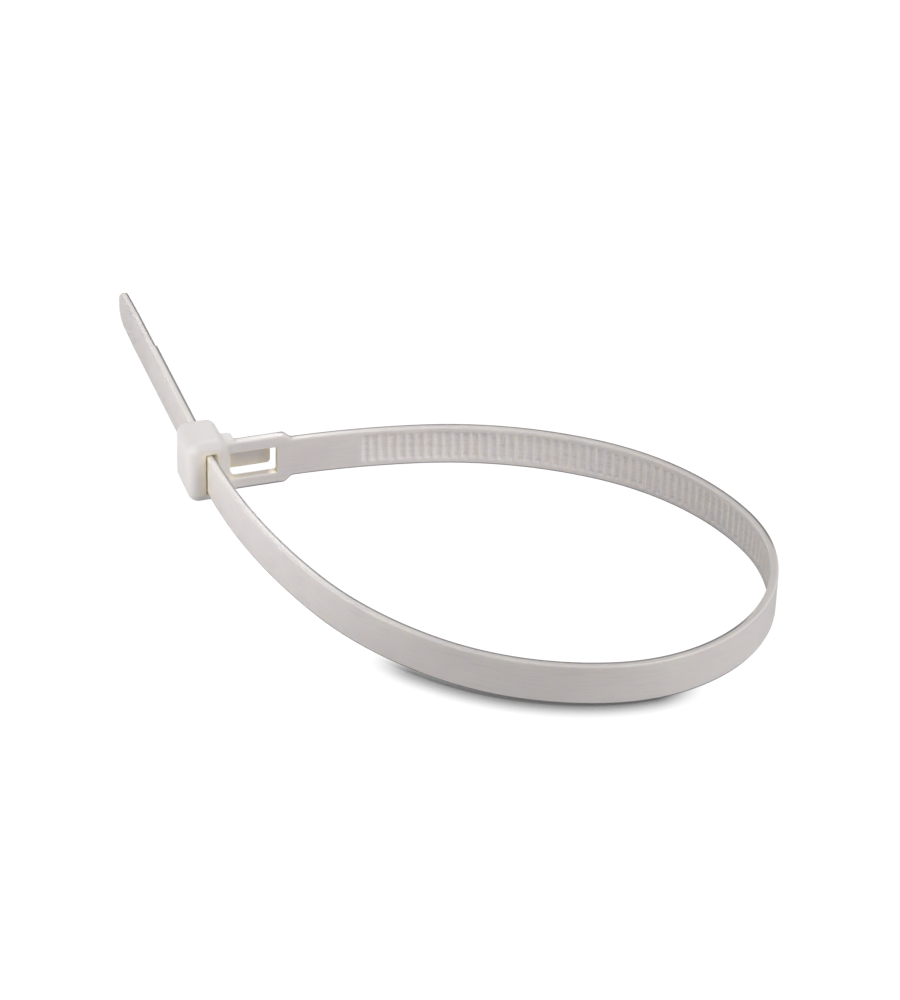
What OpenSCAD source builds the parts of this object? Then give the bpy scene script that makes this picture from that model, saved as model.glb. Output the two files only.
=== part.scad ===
// Releasable cable tie of natural nylon, closed in a loop. It is one moulding:
// a head with a slot and a pawl, a release lever in the window of the root, a
// ribbed strap that runs round clockwise and back through the slot, and a tail.
// Frame: the origin is the centre of the bundle that the far bend holds, half
// way up the strap. The root leaves the head along +X, the tail leaves it along
// +Y, and Z runs across the strap's width.

/* [Strap] */
// Width of the strap
strap_w = 7.6; // [7:0.1:9]
// Thickness of the strap over its side rails
strap_t = 1.4; // [1.2:0.05:1.7]
// Bevel along the strap's four edges
edge_bevel = 0.2; // [0.1:0.05:0.3]
// Width of the smooth rail on each side of the ribs
rail_w = 1.2; // [1:0.1:1.4]
// Depth of the channel that the ribs stand in
channel_d = 0.5; // [0.4:0.05:0.6]
// Drop of the rib crests below the rails
rib_drop = 0.06; // [0.02:0.02:0.1]
// Distance from rib to rib along the strap
rib_pitch = 1.675; // [1.5:0.025:2.2]
// Flat crest of a rib, along the strap
rib_crest = 0.4; // [0.3:0.05:0.5]
// Ramp of a rib on its tail side, along the strap
rib_ramp = 0.5; // [0.3:0.05:0.6]
// Distance from the slot to the first rib, along the root
root_smooth = 29.7; // [24:0.1:45]

/* [Loop] */
// Radius of the bundle that the far bend holds
bundle_r = 31.5; // [26:0.5:45]
// Angle that the far bend wraps round the bundle
bundle_wrap = 112; // [109:1:116]

/* [Head] */
// Length of the head along the slot
head_l = 10.8; // [10.2:0.1:12]
// Reach of the head past the root's inner face
head_reach = 1.6; // [1.2:0.1:2]
// Wall of the head behind the strap
head_back_t = 3.1; // [2.7:0.1:3.6]
// Room for the pawl between the strap and the head's root face
pawl_room = 2.7; // [2.3:0.1:3]
// Wall of the head over each edge of the strap
head_side_t = 2.15; // [1.9:0.05:2.4]
// Narrowing of the head towards the exit, on each side
head_taper = 0.4; // [0.2:0.1:0.6]
// Rounding of the head's corners
head_round = 2; // [1.5:0.1:2.2]
// Clearance between the strap's faces and the slot
slot_gap = 0.1; // [0.1:0.05:0.25]
// Clearance between the strap's edges and the slot
slot_side_gap = 0.15; // [0.1:0.05:0.3]
// Widening of the slot's mouth on the pawl's side
mouth_flare = 0.4; // [0.2:0.1:0.6]

/* [Root] */
// Width of the root's shoulder
shoulder_w = 9.9; // [9:0.1:10.4]
// Length of the shoulder from the slot to where it narrows
shoulder_l = 13.8; // [13:0.1:18]
// Thickness of the shoulder
shoulder_t = 1.6; // [1.5:0.05:2]
// Length over which the shoulder narrows to the strap
shoulder_fade = 2; // [1.5:0.1:3]
// Width of the window in the shoulder
window_w = 5.3; // [5:0.1:5.6]
// Solid stretch between the window and the narrowing
window_bridge = 1; // [0.8:0.1:2]
// Reach of the window back between the cheeks
window_back = 1; // [0.7:0.1:1.3]
// Height of the cheeks where the rails meet the head
cheek_h = 2; // [1.5:0.1:2.5]
// Length of the cheeks along the root
cheek_l = 1.6; // [1.4:0.1:2]
// Reach of the cheeks past the shoulder's edges
cheek_side = 0.4; // [0.2:0.1:0.6]
// Rounding of the cheeks
cheek_round = 0.7; // [0.4:0.1:0.8]

/* [Lever] */
// Gap between the lever and the window's edges, seen square on
lever_gap = 0.5; // [0.4:0.05:0.7]
// Thickness of the lever
lever_t = 1.2; // [1:0.05:1.5]
// Gap between the shoulder's outer face and the lever
lever_lift = 1.3; // [1:0.1:1.6]
// Rounding of the lever's free corners
lever_round = 0.8; // [0.5:0.1:1]
// Thickness of the pawl behind its teeth
pawl_t = 1.1; // [0.9:0.05:1.3]
// Length of the pawl along the strap
pawl_l = 5.6; // [5:0.1:6.4]
// Gap between the root's face and the pawl's near end
pawl_gap = 0.5; // [0.3:0.1:0.8]
// Thickness of the web that the pawl and the lever flex on
hinge_t = 0.7; // [0.5:0.05:0.9]
// Clearance between the pawl's teeth and the strap
tooth_gap = 0.1; // [0.06:0.02:0.16]

/* [Tail] */
// Length of the tail from the head's exit to the tip
tail_l = 53.5; // [48:0.5:90]
// Thickness of the smooth end of the tail
tail_t = 1.15; // [1:0.05:1.2]
// Length of the smooth end of the tail
tail_smooth = 24; // [20:1:30]
// Length of the tip, which narrows and ends round
tip_l = 12; // [8:0.5:16]
// Width of the tip at its rounded end
tip_w = 6.9; // [5:0.1:7.2]
// Distance from the head's exit to the dimple in the strap
dimple_at = 18.7; // [10:0.1:40]
// Distance from the middle of the strap to the dimple
dimple_side = 2.8; // [0:0.1:2.9]
// Radius of the dimple
dimple_r = 0.6; // [0.4:0.05:0.8]
// Depth of the dimple
dimple_d = 0.45; // [0.3:0.05:0.6]

/* [Hidden] */
$fn = 48;
bend_fn = 360;
nylon = [0.90, 0.89, 0.84];
// Overlap that joins one form to the next
sink = 0.2;
// Overshoot of a cut past the face that it opens
over = 0.5;
// Swept stretches lap each other, and each is a hair slimmer than the one that
// it laps, so that their faces cross cleanly
lap = 0.1;
hair = 0.01;

// The strap turns by three right angles on its way from the root to the slot.
// It bends in arcs that open out on both sides of the far bend, as a springy
// strip does. Each side has three: how many times wider than the far bend they
// are, and the degrees that they turn by, in order from the head.
loop_turn = 270;
bend_ratio = [4.2, 2.1, 1.5];
root_turn = [11, 28, 41];
entry_inner_turn = [23, 36];
function total(v) = v * [for (x = v) 1];
entry_turn = concat(
    loop_turn - bundle_wrap - total(root_turn) - total(entry_inner_turn),
    entry_inner_turn
);
function reversed(v) = [for (i = [len(v) - 1 : -1 : 0]) v[i]];
far_r = bundle_r + strap_t / 2;
bend_r = concat(far_r * bend_ratio, far_r, far_r * reversed(bend_ratio));
bend_turn = concat(root_turn, bundle_wrap, reversed(entry_turn));

// Heading, in degrees, at the start of each bend, counted from the root's +X
function heading(i) = i == 0 ? 0 : heading(i - 1) - bend_turn[i - 1];
// Step from the start to the end of a bend, which turns to the right
function bend_step(i) = let (a = heading(i), b = heading(i + 1))
    bend_r[i] * [sin(a) - sin(b), cos(b) - cos(a)];
function sum_steps(n) = n == 0 ? [0, 0] : sum_steps(n - 1) + bend_step(n - 1);

// The straight root is as long as it takes for the strap to come back to x = 0
bends = len(bend_r);
root_l = -sum_steps(bends)[0];
slot_y = sum_steps(bends)[1];
far_i = len(root_turn);
far_start = [root_l, 0] + sum_steps(far_i);
far_centre = far_start + far_r * [sin(heading(far_i)), -cos(heading(far_i))];

// Faces of the head, with the slot's middle at x = 0
head_x0 = -strap_t / 2 - slot_gap - head_back_t;
head_x1 = strap_t / 2 + pawl_room;
head_y0 = -shoulder_t / 2 - head_reach;
head_y1 = head_y0 + head_l;
head_w = strap_w + 2 * (slot_side_gap + head_side_t);
slot_w = strap_w + 2 * slot_side_gap;

// The whole centre line as [length, curvature] runs, from the slot and back
tail_run = head_y1 - slot_y + tail_l;
runs = concat(
    [[root_l, 0]],
    [for (i = [0 : bends - 1]) [bend_r[i] * bend_turn[i] * PI / 180, 1 / bend_r[i]]],
    [[tail_run, 0]]
);
function run_start(i) = i == 0 ? 0 : run_start(i - 1) + runs[i - 1][0];
exit_s = run_start(bends + 1) + head_y1 - slot_y;
tip_s = exit_s + tail_l;

// Place and heading after going d along a run of curvature k from place p
function advance(p, d, k) = k == 0
    ? [p[0] + d * cos(p[2]), p[1] + d * sin(p[2]), p[2]]
    : let (b = p[2] - d * k * 180 / PI)
        [p[0] + (sin(p[2]) - sin(b)) / k, p[1] + (cos(b) - cos(p[2])) / k, b];
// Place and heading at the distance s along the whole centre line
function place(s, i = 0, p = [0, 0, 0]) = s <= runs[i][0] || i == len(runs) - 1
    ? advance(p, s, runs[i][1])
    : place(s - runs[i][0], i + 1, advance(p, runs[i][0], runs[i][1]));

// Ribs, counted along the strap from the root to the smooth end of the tail
rib_h = channel_d - rib_drop;
rib_foot = rib_crest + rib_ramp;
ladder_end = tip_s - tail_smooth;
rib_count = floor((ladder_end - root_smooth - rib_foot) / rib_pitch);
ladder_start = root_smooth - rib_pitch + rib_foot;

// Window and lever
window_x0 = head_x1 + cheek_l - window_back;
window_x1 = shoulder_l - window_bridge;
lever_x1 = window_x1 - lever_gap;
lever_w = window_w - 2 * lever_gap;
lever_y = shoulder_t / 2 + lever_lift;
pawl_x = strap_t / 2 + slot_gap + tooth_gap;
pawl_y = shoulder_t / 2 + pawl_gap;

// Section of the ribbed strap: x is outwards from the bundle, y across it
module ribbed_section() {
    out = strap_t / 2 - $slim;
    half = strap_w / 2 - $slim;
    b = edge_bevel;
    channel = strap_w / 2 - rail_w + $slim;
    bed = channel_d - strap_t / 2 + $slim;
    polygon([
        [out - b, -half], [out, -half + b], [out, half - b], [out - b, half],
        [b - out, half], [-out, half - b], [-out, channel], [bed, channel],
        [bed, -channel], [-out, -channel], [-out, b - half], [b - out, -half]
    ]);
}

// Section of the smooth strap, t thick, flush with the ribbed one outside
module smooth_section(t) {
    trim = $slim + 2 * hair;
    out = strap_t / 2 - trim;
    in = strap_t / 2 - t + trim;
    half = strap_w / 2 - trim;
    b = edge_bevel;
    polygon([
        [out - b, -half], [out, -half + b], [out, half - b], [out - b, half],
        [in + b, half], [in, half - b], [in, b - half], [in + b, -half]
    ]);
}

// Sets its children down at the distance s along the centre line
module at(s) {
    p = place(s);
    translate([p[0], p[1], 0])
        rotate([0, 0, p[2]])
            children();
}

// Sweeps a section over the length l of a run of curvature k
module sweep(l, k) {
    if (k == 0) {
        rotate([90, 0, 90])
            linear_extrude(l)
                children();
    } else {
        turn = l * k * 180 / PI;
        translate([0, -1 / k, 0])
            rotate([0, 0, 90 - turn])
                rotate_extrude(angle = turn, $fn = bend_fn)
                    translate([1 / k, 0])
                        children();
    }
}

// Sweeps a section along the centre line from the distance a to b
module stretch(a, b) {
    for (i = [0 : len(runs) - 1]) {
        from = max(a, run_start(i));
        to = min(b, run_start(i) + runs[i][0]);
        $slim = hair * (i % 2);
        if (to > from)
            at(from)
                sweep(to - from + lap, runs[i][1])
                    children();
    }
}

// One rib: square on the head's side, where the pawl bites, and ramped on the
// tail's side, where the pawl slides over it
module rib() {
    floor_y = channel_d - strap_t / 2;
    crest_y = floor_y - rib_h;
    linear_extrude(strap_w - 2 * rail_w + 2 * sink, center = true)
        polygon([
            [0, floor_y + sink], [0, crest_y], [rib_crest, crest_y],
            [rib_foot, floor_y], [rib_foot, floor_y + sink]
        ]);
}

// Outline of the tail's tip, along x from where it starts to narrow
module tip_outline() {
    r = tip_w / 2;
    narrowing = (strap_w / 2 - r) / (tip_l - r);
    back = strap_w / 2 + tail_smooth * narrowing;
    polygon([[-tail_smooth, -back], [-tail_smooth, back], [tip_l - r, r], [tip_l - r, -r]]);
    translate([tip_l - r, 0])
        circle(r);
}

module strap() {
    stretch(window_x1 + sink, ladder_start)
        smooth_section(strap_t);
    stretch(ladder_start, ladder_end)
        ribbed_section();
    for (i = [0 : rib_count])
        at(root_smooth + i * rib_pitch)
            rib();
}

module tail() {
    intersection() {
        stretch(ladder_end, tip_s)
            smooth_section(tail_t);
        at(tip_s - tip_l)
            rotate([90, 0, 0])
                linear_extrude(2 * tip_l, center = true)
                    tip_outline();
    }
}

// Dimple in the outer face of the strap, past the head's exit
module dimple() {
    at(exit_s + dimple_at)
        translate([0, strap_t / 2 - dimple_d, dimple_side])
            rotate([-90, 0, 0])
                cylinder(h = dimple_d + over, r = dimple_r);
}

// Rectangle with round corners, from the corner a to the corner b
module round_rect(a, b, r) {
    translate([a[0] + r, a[1]])
        square([b[0] - a[0] - 2 * r, b[1] - a[1]]);
    translate([a[0], a[1] + r])
        square([b[0] - a[0], b[1] - a[1] - 2 * r]);
    for (x = [a[0] + r, b[0] - r], y = [a[1] + r, b[1] - r])
        translate([x, y])
            circle(r);
}

// Outer form of the head: rounded along all its edges, and narrower at the exit
module head_form() {
    half = head_w / 2;
    intersection() {
        linear_extrude(head_w, center = true)
            round_rect([head_x0, head_y0], [head_x1, head_y1], head_round);
        translate([0, head_y1, 0])
            rotate([90, 0, 0])
                linear_extrude(head_l)
                    round_rect([head_x0, -half], [head_x1, half], head_round);
        translate([head_x0, 0, 0])
            rotate([90, 0, 90])
                linear_extrude(head_x1 - head_x0)
                    round_rect([head_y0, -half], [head_y1, half], head_round);
        translate([head_x0, 0, 0])
            rotate([90, 0, 90])
                linear_extrude(head_x1 - head_x0)
                    polygon([[head_y0, -half], [head_y1, head_taper - half],
                        [head_y1, half - head_taper], [head_y0, half]]);
    }
}

// Space in the head for the strap, with a mouth that is flared on the pawl's side
module slot() {
    half = strap_t / 2 + slot_gap;
    mouth = half + mouth_flare;
    throat_y = head_y0 + 2 * mouth_flare;
    linear_extrude(slot_w, center = true)
        polygon([
            [-half, head_y0 - over], [-half, head_y1 + over], [half, head_y1 + over],
            [half, throat_y], [mouth, head_y0], [mouth, head_y0 - over]
        ]);
}

// Space in the head for the pawl, open to the slot, the exit and the lever
module pawl_cavity() {
    translate([0, shoulder_t / 2, -window_w / 2])
        cube([head_x1 + over, head_l, window_w]);
}

// Outline of the shoulder: full width, then a soft step to the strap's width
module shoulder_outline() {
    steps = 8;
    drop = (shoulder_w - strap_w) / 2;
    side = [for (i = [0 : steps]) let (u = i / steps)
        [shoulder_l + u * shoulder_fade, shoulder_w / 2 - drop * (1 - cos(180 * u)) / 2]];
    polygon(concat(
        [[head_x1 - head_round, shoulder_w / 2]],
        side,
        [for (i = [steps : -1 : 0]) [side[i][0], -side[i][1]]],
        [[head_x1 - head_round, -shoulder_w / 2]]
    ));
}

// Cheek that stiffens a rail where it meets the head
module cheek() {
    rail = (shoulder_w - window_w) / 2;
    translate([0, 0, window_w / 2])
        linear_extrude(rail + cheek_side)
            round_rect([head_x1 - head_round, -shoulder_t / 2],
                [head_x1 + cheek_l, shoulder_t / 2 + cheek_h], cheek_round);
}

module shoulder() {
    difference() {
        translate([0, shoulder_t / 2, 0])
            rotate([90, 0, 0])
                linear_extrude(shoulder_t)
                    shoulder_outline();
        translate([window_x0, -shoulder_t, -window_w / 2])
            cube([window_x1 - window_x0, 2 * shoulder_t, window_w]);
    }
    cheek();
    mirror([0, 0, 1])
        cheek();
}

// Pawl teeth, which sit in the gaps between the ribs that lie in the slot
module pawl_tooth() {
    top = strap_t / 2 - channel_d + tooth_gap;
    gap = rib_pitch - rib_foot - 2 * tooth_gap;
    linear_extrude(lever_w, center = true)
        polygon([
            [pawl_x + sink, 0], [top, 0], [top, -gap],
            [pawl_x, -gap - rib_ramp], [pawl_x + sink, -gap - rib_ramp]
        ]);
}

module pawl() {
    slot_s = run_start(bends + 1) - slot_y;
    first = ceil((slot_s + pawl_y + rib_pitch - rib_crest - root_smooth) / rib_pitch);
    last = floor((slot_s + pawl_y + pawl_l - root_smooth) / rib_pitch);
    translate([pawl_x, pawl_y, -lever_w / 2])
        cube([pawl_t, pawl_l, lever_w]);
    translate([pawl_x + pawl_t - hinge_t, 0, -lever_w / 2])
        cube([hinge_t, pawl_y + sink, lever_w]);
    for (i = [first : last])
        translate([0, root_smooth + i * rib_pitch - slot_s - tooth_gap, 0])
            pawl_tooth();
}

// Release lever: pressing its free end into the window swings the pawl off the
// strap
module lever() {
    root_x = pawl_x + pawl_t - sink;
    intersection() {
        translate([root_x, lever_y, -lever_w / 2])
            cube([lever_x1 - root_x, lever_t, lever_w]);
        rotate([90, 0, 0])
            linear_extrude(2 * (lever_y + lever_t + over), center = true)
                round_rect([root_x - lever_round - over, -lever_w / 2],
                    [lever_x1, lever_w / 2], lever_round);
    }
}

module head() {
    difference() {
        head_form();
        slot();
        pawl_cavity();
    }
}

module cable_tie() {
    color(nylon)
        translate([-far_centre[0], -far_centre[1], 0]) {
            head();
            shoulder();
            pawl();
            lever();
            difference() {
                union() {
                    strap();
                    tail();
                }
                dimple();
            }
        }
}

cable_tie();
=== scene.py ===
import math
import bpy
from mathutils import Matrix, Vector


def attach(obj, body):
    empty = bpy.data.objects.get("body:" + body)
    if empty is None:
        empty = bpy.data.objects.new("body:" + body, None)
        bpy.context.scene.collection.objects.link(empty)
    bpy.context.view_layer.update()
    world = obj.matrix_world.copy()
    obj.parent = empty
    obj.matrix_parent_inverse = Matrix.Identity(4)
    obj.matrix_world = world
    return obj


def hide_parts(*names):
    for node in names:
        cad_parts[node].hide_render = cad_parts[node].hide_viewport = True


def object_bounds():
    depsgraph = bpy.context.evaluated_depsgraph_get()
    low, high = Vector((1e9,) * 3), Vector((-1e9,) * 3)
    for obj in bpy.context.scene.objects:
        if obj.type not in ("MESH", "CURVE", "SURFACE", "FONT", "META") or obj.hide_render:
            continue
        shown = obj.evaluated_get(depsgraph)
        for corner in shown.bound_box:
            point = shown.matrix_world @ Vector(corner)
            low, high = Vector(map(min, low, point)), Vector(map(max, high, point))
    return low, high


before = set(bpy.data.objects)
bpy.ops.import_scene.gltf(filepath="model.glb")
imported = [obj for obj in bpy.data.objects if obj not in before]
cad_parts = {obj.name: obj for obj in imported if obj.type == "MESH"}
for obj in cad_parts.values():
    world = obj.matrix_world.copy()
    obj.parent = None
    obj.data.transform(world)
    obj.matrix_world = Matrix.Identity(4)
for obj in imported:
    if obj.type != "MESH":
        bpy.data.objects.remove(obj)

from types import SimpleNamespace

import bmesh
import bpy
import numpy as np
from bpy.props import FloatProperty, FloatVectorProperty, PointerProperty
from mathutils import Matrix, Vector

bl_info = {
    "name": "Releasable Cable Tie",
    "version": (1, 0, 0),
    "blender": (4, 5, 0),
    "location": "3D Viewport > Sidebar > Cable Tie",
    "description": "Models a closed releasable cable tie of natural nylon and sets its stage",
    "category": "Add Mesh",
}

MM = 0.001
CAD_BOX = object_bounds()

# The strap turns by three right angles on its way round. On each side of the far
# bend it opens out in three arcs: how many times wider than the far bend they
# are, and the degrees that they turn by, in order from the head.
LOOP_TURN = 270.0
BEND_RATIO = (4.2, 2.1, 1.5)
ROOT_TURN = (11.0, 28.0, 41.0)
ENTRY_INNER_TURN = (23.0, 36.0)


def length(name, description, mm):
    """A size that is shown in scene units and written here in millimetres."""
    return FloatProperty(
        name=name, description=description, default=mm * MM, min=0.0, unit="LENGTH", precision=5
    )


def angle(name, description, degrees):
    """An angle that is shown in degrees and kept in radians."""
    return FloatProperty(
        name=name, description=description, default=math.radians(degrees), unit="ROTATION"
    )


def colour(name, description, rgb):
    """A colour without alpha."""
    return FloatVectorProperty(
        name=name, description=description, default=rgb, min=0.0, max=1.0, size=3, subtype="COLOR"
    )


def share(name, description, value, top=1.0):
    """A plain factor."""
    return FloatProperty(
        name=name, description=description, default=value, min=0.0, max=top, subtype="FACTOR"
    )


class TieStrapSizes(bpy.types.PropertyGroup):
    """Sizes of the strap, its ladder and its loop"""

    strap_w: length("Strap width", "Width of the strap", 7.6)
    strap_t: length("Strap thickness", "Thickness of the strap over its side rails", 1.4)
    edge_r: length("Edge rounding", "Rounding along the strap's four edges", 0.24)
    rail_w: length("Rail width", "Width of the smooth rail on each side of the ribs", 1.2)
    channel_d: length("Channel depth", "Depth of the channel that the ribs stand in", 0.5)
    rib_drop: length("Rib drop", "Drop of the rib crests below the rails", 0.06)
    rib_pitch: length("Rib pitch", "Distance from rib to rib", 1.675)
    rib_crest: length("Rib crest", "Flat crest of a rib, along the strap", 0.4)
    rib_ramp: length("Rib ramp", "Ramp of a rib on its tail side, along the strap", 0.5)
    root_smooth: length("Smooth root", "Distance from the slot to the first rib", 29.7)
    bundle_r: length("Bundle radius", "Radius of the bundle that the far bend holds", 31.5)
    bundle_wrap: angle("Bundle wrap", "Angle that the far bend wraps round the bundle", 112.0)
    tail_l: length("Tail length", "Length of the tail from the head's exit", 53.5)
    tail_t: length("Tail thickness", "Thickness of the smooth end of the tail", 1.15)
    tail_smooth: length("Smooth tail", "Length of the smooth end of the tail", 24.0)
    tip_l: length("Tip length", "Length of the tip, which narrows and ends round", 12.0)
    tip_w: length("Tip width", "Width of the tip at its rounded end", 6.9)
    dimple_at: length("Dimple place", "Distance from the head's exit to the dimple", 18.7)
    dimple_side: length("Dimple side", "Distance from the tail's middle to the dimple", 2.8)
    dimple_r: length("Dimple radius", "Radius of the dimple in the tail", 0.6)
    dimple_d: length("Dimple depth", "Depth of the dimple in the tail", 0.45)


class TieHeadSizes(bpy.types.PropertyGroup):
    """Sizes of the head, the shoulder and the release lever"""

    head_l: length("Head length", "Length of the head along the slot", 10.8)
    head_reach: length("Head reach", "Reach of the head past the root's inner face", 1.6)
    head_back_t: length("Back wall", "Wall of the head behind the strap", 3.1)
    pawl_room: length("Pawl room", "Room between the strap and the head's root face", 2.7)
    head_side_t: length("Side wall", "Wall of the head over each edge of the strap", 2.15)
    head_taper: length("Head taper", "Narrowing of the head towards the exit", 0.4)
    head_round: length("Head rounding", "Rounding of the head's corners", 2.0)
    slot_gap: length("Slot clearance", "Clearance between the strap's faces and the slot", 0.1)
    slot_side_gap: length("Side clearance", "Clearance between the strap's edges and the slot", 0.15)
    mouth_flare: length("Mouth flare", "Widening of the slot's mouth on the pawl's side", 0.4)
    shoulder_w: length("Shoulder width", "Width of the root's shoulder", 9.9)
    shoulder_l: length("Shoulder length", "Length from the slot to where the shoulder narrows", 13.8)
    shoulder_t: length("Shoulder thickness", "Thickness of the shoulder", 1.6)
    shoulder_fade: length("Shoulder fade", "Length over which the shoulder narrows", 2.0)
    window_w: length("Window width", "Width of the window in the shoulder", 5.3)
    window_bridge: length("Window bridge", "Solid stretch beyond the window", 1.0)
    window_back: length("Window reach", "Reach of the window back between the cheeks", 1.0)
    cheek_h: length("Cheek height", "Height of the cheeks where the rails meet the head", 2.0)
    cheek_l: length("Cheek length", "Length of the cheeks along the root", 1.6)
    cheek_side: length("Cheek side", "Reach of the cheeks past the shoulder's edges", 0.4)
    cheek_round: length("Cheek rounding", "Rounding of the cheeks", 0.7)
    lever_gap: length("Lever gap", "Gap between the lever and the window's edges", 0.5)
    lever_t: length("Lever thickness", "Thickness of the release lever", 1.2)
    lever_lift: length("Lever lift", "Gap between the shoulder's face and the lever", 1.3)
    lever_round: length("Lever rounding", "Rounding of the lever's free corners", 0.8)
    pawl_t: length("Pawl thickness", "Thickness of the pawl behind its teeth", 1.1)
    pawl_l: length("Pawl length", "Length of the pawl along the strap", 5.6)
    pawl_gap: length("Pawl gap", "Gap between the root's face and the pawl's end", 0.5)
    hinge_t: length("Hinge thickness", "Thickness of the web that the pawl flexes on", 0.7)
    tooth_gap: length("Tooth clearance", "Clearance between the pawl's teeth and the strap", 0.1)
    fillet: length("Fillet", "Fillet where one form of the head runs into the next", 0.5)
    cell: length("Cell", "Cell of the grid that the head's surface is found on", 0.17)


class TieNylonFinish(bpy.types.PropertyGroup):
    """Look of the natural nylon"""

    base: colour("Nylon", "Colour of the natural nylon", (0.72, 0.68, 0.682))
    milky: colour("Milky nylon", "Colour of its paler, milkier places", (0.745, 0.72, 0.705))
    thick: colour("Thick nylon", "Colour of the thick head, which is whiter", (0.745, 0.715, 0.705))
    # Painted light in the ladder's pockets, as if light came through their thin floor
    thin: colour("Thin nylon", "Colour of the thin pockets, which light shines through", (0.835, 0.805, 0.80))
    # Painted warm shade in the head's corners and hollows and where the strap enters the head
    hollow: colour("Hollows", "Colour that the nylon takes on in corners and hollows", (0.86, 0.80, 0.68))
    # Painted dark shade along two of the strap's four edges
    edge: colour("Edges", "Colour of the worn edges", (0.16, 0.145, 0.155))
    streaks: share("Streaks", "How much the fine streaks along the strap change its colour", 0.07)
    glow: share("Glow", "How much light scatters inside the nylon", 1.0)
    depth: length("Glow depth", "How far light scatters inside the nylon", 1.2)
    roughness: share("Roughness", "Roughness of the moulded surface", 0.35)


class TieStageSetup(bpy.types.PropertyGroup):
    """Floor, light and camera"""

    floor: share("Floor", "How much light the floor throws back", 0.7)
    sky: share("Sky", "Strength of the even light from all round", 0.22, 2.0)
    key: share("Key", "Strength of the lamp on the left, where it meets the tie squarely", 0.57, 4.0)
    fill: share("Fill", "Strength of the lamp on the right, where it meets the tie squarely", 0.68, 4.0)
    glint: share("Glint", "Strength of the small lamp behind, where it meets the edge squarely", 0.2, 4.0)
    glint_far: length("Glint distance", "Distance of the small lamp from the glint", 120.0)
    glint_size: length("Glint size", "Side of the small square lamp", 20.0)
    key_far: length("Key distance", "Distance of the lamp on the left, near enough to fall off", 160.0)
    key_size: length("Key size", "Side of the square lamp on the left", 130.0)
    fill_far: length("Fill distance", "Distance of the lamp on the right", 1200.0)
    fill_size: length("Fill size", "Side of the square lamp on the right", 900.0)
    azimuth: angle("Azimuth", "Side that the camera stands on, counted from the front", -19.34)
    elevation: angle("Elevation", "Height of the camera over the horizon", 32.71)
    roll: angle("Roll", "Turn of the camera about its own axis", 1.86)
    distance: length("Distance", "Distance from the camera to the point it aims at", 682.4)
    aim: FloatVectorProperty(
        name="Aim", description="Point that the camera aims at", subtype="TRANSLATION",
        unit="LENGTH", default=(-15.15 * MM, 29.05 * MM, 0.0)
    )
    focal: FloatProperty(
        name="Focal length", description="Focal length of the lens on a 36 mm frame",
        default=138.5, subtype="DISTANCE_CAMERA"
    )


def in_mm(*groups):
    """The sizes of property groups as plain numbers: millimetres and radians."""
    sizes = {}
    for group in groups:
        for key, prop in group.bl_rna.properties.items():
            if prop.type == "FLOAT" and not prop.is_array:
                value = getattr(group, key)
                sizes[key] = round(value / MM, 5) if prop.unit == "LENGTH" else value
    return SimpleNamespace(**sizes)


class CentreLine:
    """The strap's centre line from the slot, round the loop, back through the slot and out to
    the tip, as straight and round runs. It starts at the origin along +X and turns to the right."""

    def __init__(self, z):
        far_r = z.bundle_r + z.strap_t / 2
        wrap = math.degrees(z.bundle_wrap)
        first = LOOP_TURN - wrap - sum(ROOT_TURN) - sum(ENTRY_INNER_TURN)
        entry_turn = (first, *ENTRY_INNER_TURN)
        radius = far_r * np.array([*BEND_RATIO, 1.0, *BEND_RATIO[::-1]])
        turn = np.radians([*ROOT_TURN, wrap, *entry_turn[::-1]])
        heading = -np.concatenate([[0.0], np.cumsum(turn)])
        a, b = heading[:-1], heading[1:]
        step = np.stack([radius * (np.sin(a) - np.sin(b)), radius * (np.cos(b) - np.cos(a))], 1)
        # The straight root is as long as it takes for the strap to come back to x = 0
        root_l = -step[:, 0].sum()
        self.slot_y = step[:, 1].sum()
        far = len(ROOT_TURN)
        far_start = np.array([root_l, 0.0]) + step[:far].sum(0)
        self.far_centre = far_start + far_r * np.array([np.sin(a[far]), -np.cos(a[far])])
        self.head_y0 = -z.shoulder_t / 2 - z.head_reach
        self.head_y1 = self.head_y0 + z.head_l
        tail_run = self.head_y1 - self.slot_y + z.tail_l
        self.run_l = np.array([root_l, *(radius * turn), tail_run])
        self.curve = np.array([0.0, *(1 / radius), 0.0])
        self.start = np.concatenate([[0.0], np.cumsum(self.run_l)])
        self.slot_s = self.start[len(radius) + 1] - self.slot_y
        self.exit_s = self.slot_s + self.head_y1
        self.tip_s = self.exit_s + z.tail_l
        self.knots = [np.zeros(3)]
        for run_l, curve in zip(self.run_l, self.curve):
            self.knots.append(self.advance(self.knots[-1], run_l, curve))

    @staticmethod
    def advance(p, d, curve):
        """Place and heading after going d along a run of that curvature from place p."""
        if curve == 0:
            return np.array([p[0] + d * np.cos(p[2]), p[1] + d * np.sin(p[2]), p[2]])
        b = p[2] - d * curve
        x = p[0] + (np.sin(p[2]) - np.sin(b)) / curve
        return np.array([x, p[1] + (np.cos(b) - np.cos(p[2])) / curve, b])

    def place(self, s):
        """Place and heading at the distance s along the line."""
        i = min(max(int(np.searchsorted(self.start, s, side="right")) - 1, 0), len(self.curve) - 1)
        return self.advance(self.knots[i], s - self.start[i], self.curve[i])


def ease(t):
    """A soft step from 0 to 1 while t goes from 0 to 1."""
    t = np.clip(t, 0.0, 1.0)
    return t * t * (3 - 2 * t)


# A rib seen along the strap, from its square face on the head's side: how far
# before or after the face's foot, the crest's end or the ramp's end each of its
# rings lies, and how high it is there as a share of the rib
RIB_FOOT = ((-0.3, 0.0), (-0.12, 0.15), (0.06, 0.72), (0.22, 0.97))
RIB_CREST = ((-0.1, 1.0), (0.06, 0.9))
RIB_RAMP = ((-0.1, 0.15), (0.02, 0.04), (0.14, 0.0))


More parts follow.
